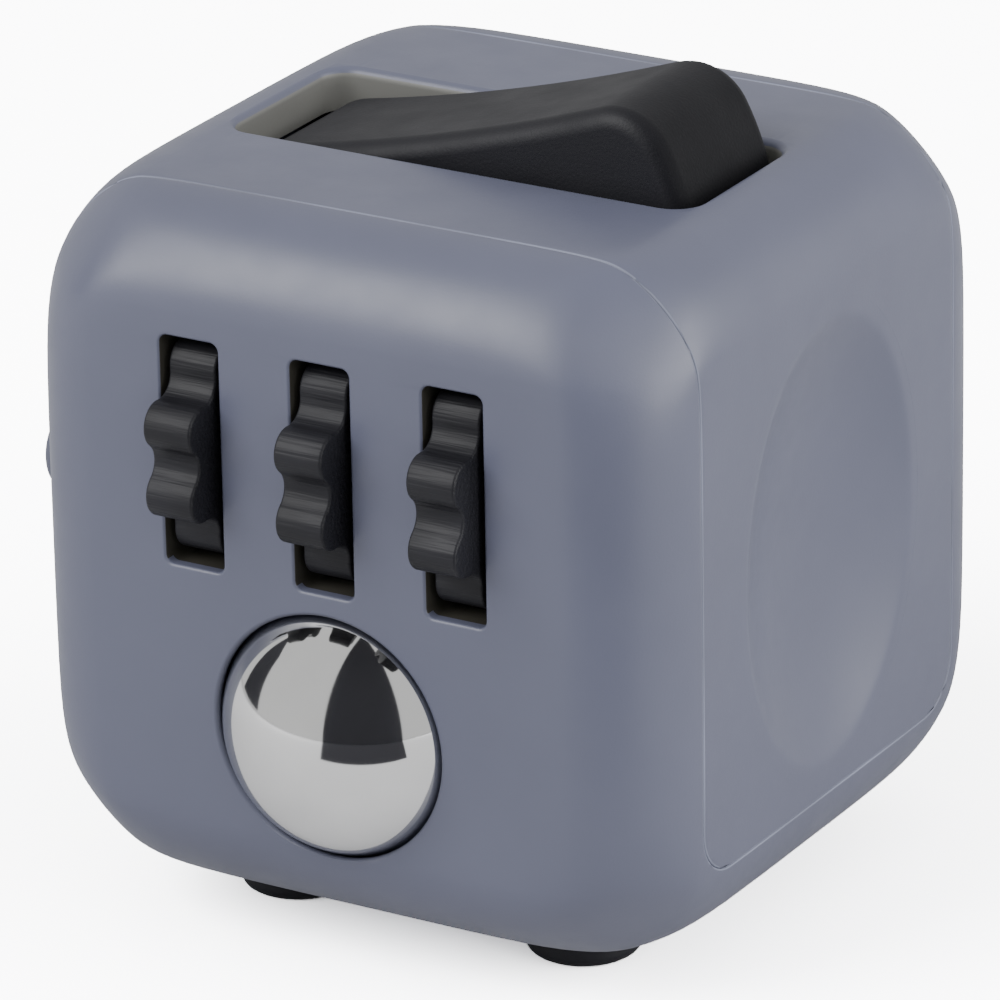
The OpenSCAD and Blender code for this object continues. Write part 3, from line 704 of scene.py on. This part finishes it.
def node_material(name):
    material = bpy.data.materials.new(name)
    material.use_nodes = True
    tree = material.node_tree
    tree.nodes.clear()
    out = tree.nodes.new("ShaderNodeOutputMaterial")
    shader = tree.nodes.new("ShaderNodeBsdfPrincipled")
    tree.links.new(shader.outputs[0], out.inputs[0])
    coords = tree.nodes.new("ShaderNodeTexCoord")
    return material, tree, shader, coords.outputs["Object"]


def noise(tree, coords, scale, detail, stretch=None):
    if stretch:
        mapping = tree.nodes.new("ShaderNodeMapping")
        mapping.inputs["Scale"].default_value = stretch
        tree.links.new(coords, mapping.inputs["Vector"])
        coords = mapping.outputs["Vector"]
    texture = tree.nodes.new("ShaderNodeTexNoise")
    texture.inputs["Scale"].default_value = scale
    texture.inputs["Detail"].default_value = detail
    tree.links.new(coords, texture.inputs["Vector"])
    return texture.outputs["Fac"]


def ranged(tree, value, low, high):
    """Maps a noise onto a range of values."""
    node = tree.nodes.new("ShaderNodeMapRange")
    node.inputs["From Min"].default_value = NOISE_LOW
    node.inputs["From Max"].default_value = NOISE_HIGH
    node.inputs["To Min"].default_value = low
    node.inputs["To Max"].default_value = high
    tree.links.new(value, node.inputs["Value"])
    return node.outputs["Result"]


def two_tones(tree, value, dark, light):
    ramp = tree.nodes.new("ShaderNodeValToRGB")
    ramp.color_ramp.elements[0].position = NOISE_LOW
    ramp.color_ramp.elements[0].color = (*dark, 1)
    ramp.color_ramp.elements[1].position = NOISE_HIGH
    ramp.color_ramp.elements[1].color = (*light, 1)
    tree.links.new(value, ramp.inputs["Fac"])
    return ramp.outputs["Color"]


def bump(tree, height, distance):
    node = tree.nodes.new("ShaderNodeBump")
    node.inputs["Distance"].default_value = distance
    tree.links.new(height, node.inputs["Height"])
    return node.outputs["Normal"]


def moulded_plastic(name, color, rough, grain_mm=0.12, depth_mm=0.004, tone=0.04, drawn=None, shine=0.5):
    """Satin moulded plastic: faint clouding, uneven gloss and a fine grain, which drawn can stretch."""
    material, tree, shader, coords = node_material(name)
    dark = tuple(c * (1 - tone) for c in color)
    light = tuple(c * (1 + tone) for c in color)
    clouds = noise(tree, coords, 1 / (9 * MM), 3)
    tree.links.new(two_tones(tree, clouds, dark, light), shader.inputs["Base Color"])
    uneven = noise(tree, coords, 1 / (2.5 * MM), 4)
    tree.links.new(ranged(tree, uneven, rough - 0.04, rough + 0.04), shader.inputs["Roughness"])
    grain = noise(tree, coords, 1 / (grain_mm * MM), 3, drawn)
    tree.links.new(bump(tree, grain, depth_mm * MM), shader.inputs["Normal"])
    shader.inputs["Specular IOR Level"].default_value = shine
    return material


def metal(name, color, rough, lines=None):
    """Metal with faint smears and, if lines gives a stretch, fine drawn lines."""
    material, tree, shader, coords = node_material(name)
    shader.inputs["Metallic"].default_value = 1.0
    smears = noise(tree, coords, 1 / (3 * MM), 5)
    tone = tuple(c * 0.94 for c in color)
    tree.links.new(two_tones(tree, smears, tone, color), shader.inputs["Base Color"])
    tree.links.new(ranged(tree, smears, rough * 0.7, rough * 1.3), shader.inputs["Roughness"])
    if lines:
        marks = noise(tree, coords, 1 / (0.08 * MM), 2, lines)
        tree.links.new(bump(tree, marks, 0.002 * MM), shader.inputs["Normal"])
    return material


SHELL = moulded_plastic("slate_satin_plastic", (0.074, 0.079, 0.116), 0.40)
# Lighter plastic on the seam's bevels: a painted highlight, so that the seam shows as a light line where its
# edges catch the light.
SEAM_PAINTED_HIGHLIGHT = moulded_plastic("slate_plastic_painted_highlight", (0.13, 0.14, 0.19), 0.6, tone=0.3)
# Warm grey of the bare inner plastic, darkened as painted shade of the deep, dim wheel slots.
SLOT_WALL_PAINTED_SHADE = moulded_plastic("slot_plastic_painted_shade", (0.030, 0.028, 0.023), 0.6, shine=0.2)
WINDOW_WALL = moulded_plastic("warm_grey_plastic", (0.12, 0.12, 0.112), 0.5, shine=0.35)
TRIM = moulded_plastic(
    "black_satin_plastic", (0.008, 0.008, 0.011), 0.56, grain_mm=0.14, depth_mm=0.014, tone=0.06, shine=0.26
)
WHEEL = moulded_plastic(
    "black_wheel_plastic",
    (0.010, 0.010, 0.013),
    0.5,
    grain_mm=0.22,
    depth_mm=0.06,
    tone=0.4,
    drawn=(0.04, 1, 1),
    shine=0.25,
)
FRAME = moulded_plastic("dark_acetal", (0.030, 0.030, 0.032), 0.5)
SILICONE = moulded_plastic("grey_silicone", (0.20, 0.20, 0.21), 0.75)
POLISHED = metal("polished_steel", (0.74, 0.74, 0.735), 0.07)
STEEL = metal("drawn_steel", (0.62, 0.62, 0.63), 0.28, (1, 1, 6))
BRONZE = metal("spring_bronze", (0.62, 0.42, 0.20), 0.32, (1, 6, 1))

make_casing(SHELL, SLOT_WALL_PAINTED_SHADE, WINDOW_WALL, SEAM_PAINTED_HIGHLIGHT)
for wheel_node in WHEELS:
    make_wheel(wheel_node, WHEEL)
make_ball(POLISHED)
make_rocker(TRIM)
for button_node in BUTTONS:
    make_button(button_node, button_node, TRIM)
make_dial(SHELL)
make_joystick_cap(TRIM)

# ---- CAD nodes that keep their shape get a material ----

KEPT = {
    "shell_plastic": SHELL,
    "trim_plastic": TRIM,
    "wheel_plastic": WHEEL,
    "polished_steel": POLISHED,
    "steel": STEEL,
    "frame_plastic": FRAME,
    "spring_bronze": BRONZE,
    "silicone": SILICONE,
}
slot_of = {s["node"]: s["material_slot"] for s in frame["record"]["subparts"]}
for node_name, obj in frame["nodes"].items():
    for slot_index in range(len(obj.material_slots)):
        obj.material_slots[slot_index].material = KEPT[slot_of[node_name]]
    if not obj.material_slots:
        obj.data.materials.append(KEPT[slot_of[node_name]])

# ---- Stage ----

# The camera's direction from the cube and its roll are in degrees. Its aim is a little off the cube's middle.
CAM_AZIMUTH = 30.725
CAM_ELEVATION = 21.973
CAM_ROLL = -1.026
CAM_DISTANCE = 370.07 * MM
CAM_LENS = 291.4
CAM_SENSOR = 36
AIM_RIGHT = 0.58 * MM
AIM_UP = 1.08 * MM


def make_camera():
    """A long lens at the height and side from which the cube is shown."""
    a, e, roll = (math.radians(x) for x in (CAM_AZIMUTH, CAM_ELEVATION, CAM_ROLL))
    back = Vector((math.sin(a) * math.cos(e), -math.cos(a) * math.cos(e), math.sin(e)))
    level = Vector((math.cos(a), math.sin(a), 0))
    over = back.cross(level)
    right = level * math.cos(roll) + over * math.sin(roll)
    up = over * math.cos(roll) - level * math.sin(roll)
    data = bpy.data.cameras.new("camera")
    data.lens = CAM_LENS
    data.sensor_width = CAM_SENSOR
    data.clip_start = 0.01
    camera = bpy.data.objects.new("camera", data)
    camera.matrix_world = Matrix((right, up, back)).transposed().to_4x4()
    camera.location = CENTRE - AIM_RIGHT * right - AIM_UP * up + CAM_DISTANCE * back
    bpy.context.scene.collection.objects.link(camera)
    bpy.context.scene.camera = camera


def area_light(name, at, size, power):
    """A rectangular lamp aimed at the cube's middle."""
    data = bpy.data.lights.new(name, "AREA")
    data.shape = "RECTANGLE"
    data.size, data.size_y = size
    data.energy = power
    light = bpy.data.objects.new(name, data)
    light.location = at
    light.rotation_euler = (CENTRE - at).to_track_quat("-Z", "Y").to_euler()
    bpy.context.scene.collection.objects.link(light)
    return light


def light_only(light, objects):
    """Keeps a light, and its reflection, off everything but these objects."""
    receivers = bpy.data.collections.new("lit_by_" + light.name)
    for obj in objects:
        receivers.objects.link(obj)
    light.light_linking.receiver_collection = receivers


def stage_card(name, corners, material):
    """A flat card that only reflections see."""
    card = new_object(name, corners, [tuple(range(len(corners)))])
    card.data.materials.append(material)
    card.visible_camera = False
    card.visible_diffuse = False
    card.visible_shadow = False
    card.visible_transmission = False
    return card


def from_centre(azimuth, elevation, distance):
    """A point seen from the cube in a direction. Azimuth 0 is the front's, and it grows to the right."""
    a, e = math.radians(azimuth), math.radians(elevation)
    way = Vector((math.sin(a) * math.cos(e), -math.cos(a) * math.cos(e), math.sin(e)))
    return CENTRE + distance * way


def make_floor(name, height, color, seen):
    """A plain floor. The seen one is bright and only for the camera; the other throws light back up."""
    size = 3.0
    corners = [(-size, -size), (size, -size), (size, size), (-size, size)]
    floor = new_object(name, [(x, y, height) for x, y in corners], [(0, 1, 2, 3)])
    material = bpy.data.materials.new(name)
    material.use_nodes = True
    tree = material.node_tree
    tree.nodes.clear()
    out = tree.nodes.new("ShaderNodeOutputMaterial")
    diffuse = tree.nodes.new("ShaderNodeBsdfDiffuse")
    diffuse.inputs["Color"].default_value = (*color, 1)
    tree.links.new(diffuse.outputs[0], out.inputs[0])
    floor.data.materials.append(material)
    floor.visible_camera = seen
    floor.visible_diffuse = not seen
    floor.visible_glossy = not seen
    floor.visible_shadow = not seen


def make_stage():
    """A pale studio: a white world, the floors, dark cards for the ball to reflect, and three lights."""
    world = bpy.data.worlds.new("studio")
    world.use_nodes = True
    world.node_tree.nodes["Background"].inputs["Color"].default_value = (1.0, 1.0, 1.0, 1)
    world.node_tree.nodes["Background"].inputs["Strength"].default_value = 0.8
    bpy.context.scene.world = world
    make_floor("seen_floor", 0, (6.5, 6.5, 6.6), seen=True)
    make_floor("bounce_floor", -0.05 * MM, (0.6, 0.6, 0.61), seen=False)
    material, _, shader, _ = node_material("dark_card")
    shader.inputs["Base Color"].default_value = (0.035, 0.035, 0.04, 1)
    shader.inputs["Roughness"].default_value = 1.0
    shader.inputs["Specular IOR Level"].default_value = 0.0
    ball_foot = Vector((BALL.x, BALL.y, 0.1 * MM))
    near, far = 53 * MM, 0.6
    near_left, near_right, base_left, base_right = (
        ball_foot + distance * Vector((math.sin(a), -math.cos(a), 0))
        for distance, a in ((near, -0.03), (near, 1.1), (far, -0.03), (far, 1.08))
    )
    stage_card("dark_gap", [base_left, base_right, from_centre(0, 90, 1.0)], material)
    stage_card("dark_floor", [near_left, near_right, base_right, base_left], material)
    dark_side = [(-89, 0), (-64, 0), (-74, 31), (-88, 40)]
    stage_card("dark_side", [from_centre(a, e, 0.7) for a, e in dark_side], material)
    # The ball reflects the cards, so the key and side lights are kept off it.
    key = area_light("key", from_centre(-34.7, 37, 0.8), (0.6, 0.6), 8)
    side = area_light("side", from_centre(100, 12, 0.8), (0.9, 0.8), 13)
    corner = area_light("corner", from_centre(28, 47, 0.8), (0.85, 0.25), 1.8)
    meshes = [o for o in bpy.context.scene.objects if o.type == "MESH"]
    unpolished = [o for o in meshes if not o.name.startswith("steel_ball")]
    light_only(key, unpolished)
    light_only(side, [o for o in unpolished if o.name != "rocker_cap"])
    light_only(corner, [o for o in meshes if o.name.endswith("_shell_skin")])


make_camera()
make_stage()
